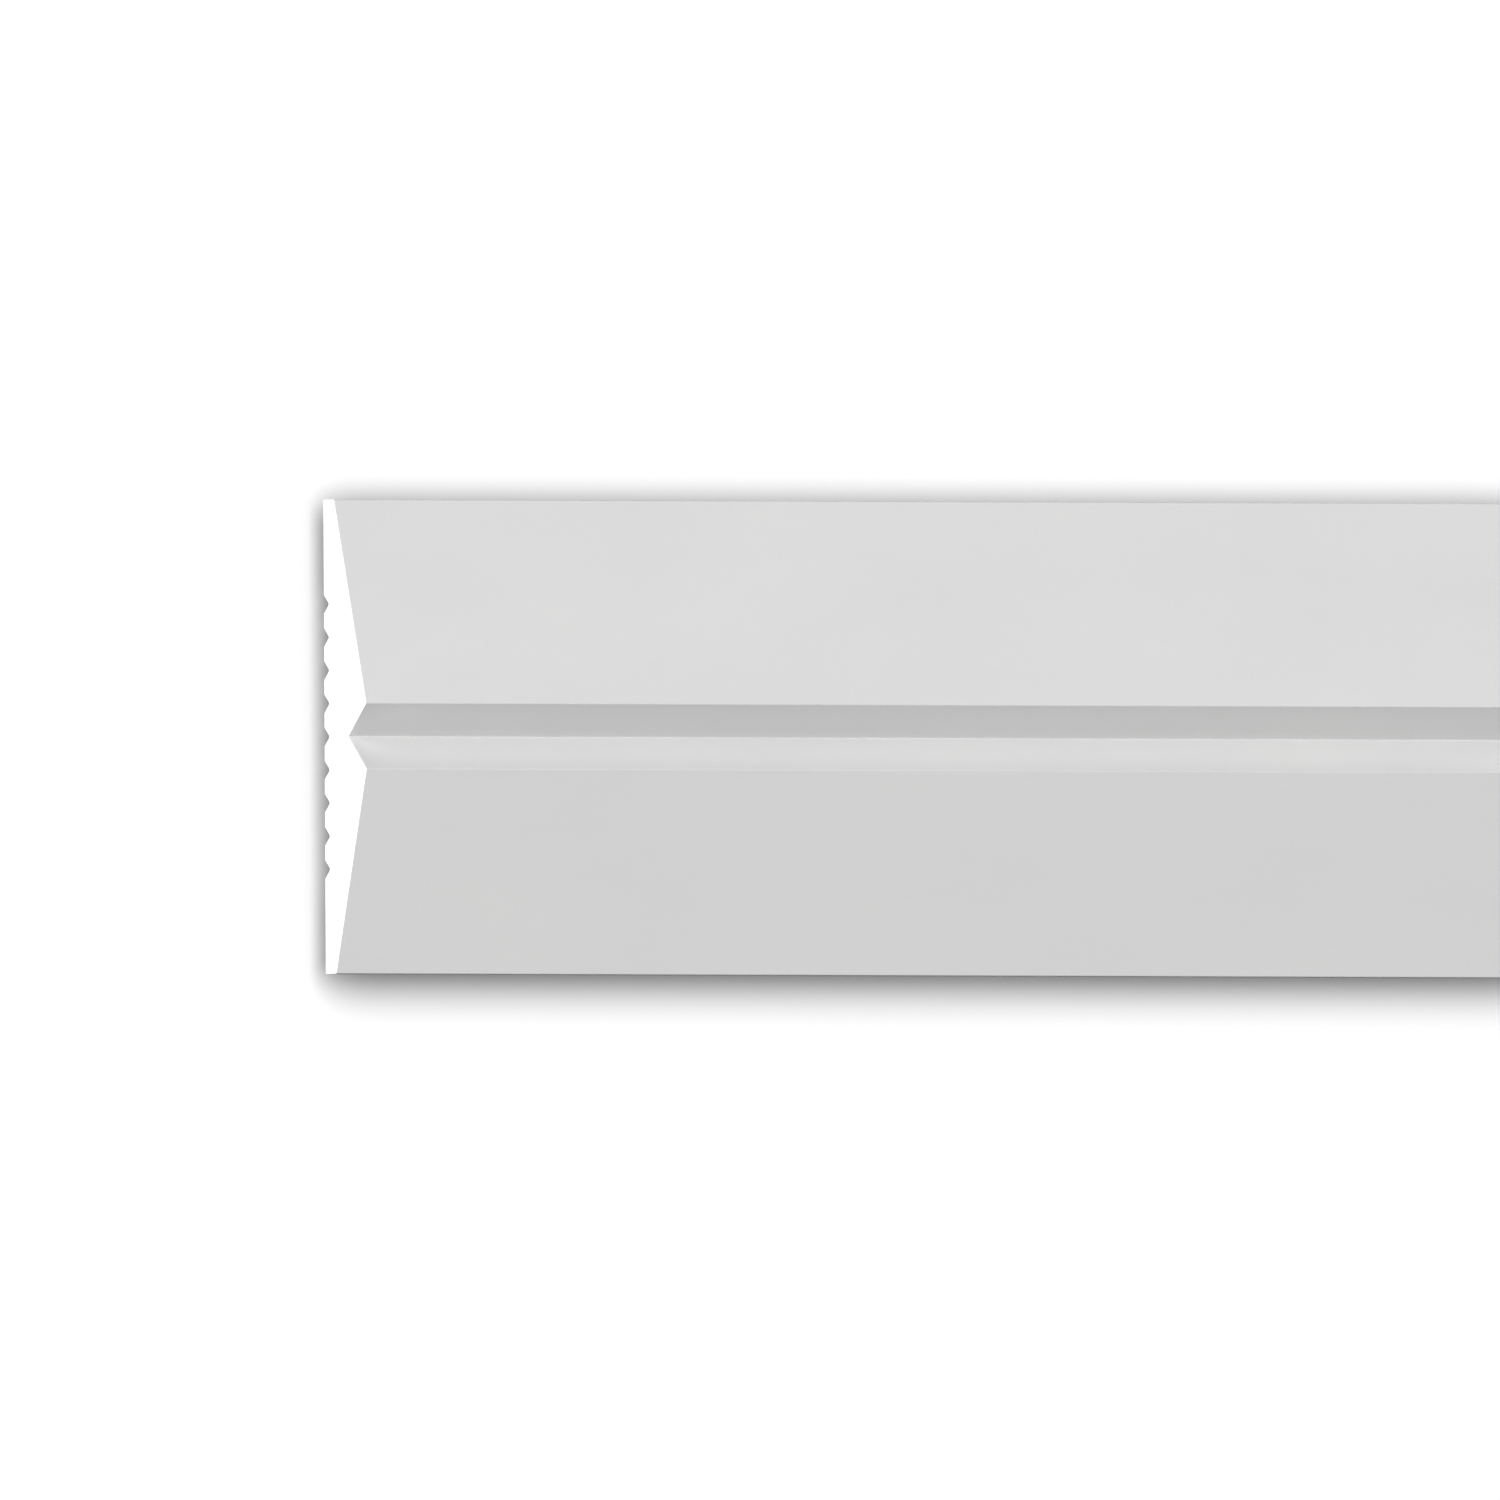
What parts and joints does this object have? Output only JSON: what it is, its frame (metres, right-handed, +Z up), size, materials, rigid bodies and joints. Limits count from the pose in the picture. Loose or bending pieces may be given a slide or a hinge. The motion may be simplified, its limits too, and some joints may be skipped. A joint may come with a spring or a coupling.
{
  "type": "panel moulding",
  "caption": "Straight length of flat wall panel moulding: broad faces rise from thin edges to sharp ridges beside a V groove, and the flat back is keyed for glue.",
  "frame": {"origin": "on the back, which is the wall plane, halfway along the strip, on the land just below the middle keying groove, 3.5 mm below the centre line of the section", "axes": "+X along the strip, towards the right seen from the front; +Y out of the back into the wall, so the moulded front faces -Y; +Z up across the width"},
  "size_m": [0.3, 0.016, 0.1],
  "materials": {
    "primed_polymer": "matt white primer on the front and edges, bare white dense foamed polymer on the keyed back and the sawn ends"
  },
  "bodies": {
    "root": {"panel_moulding": "primed_polymer"}
  },
  "joints": []
}
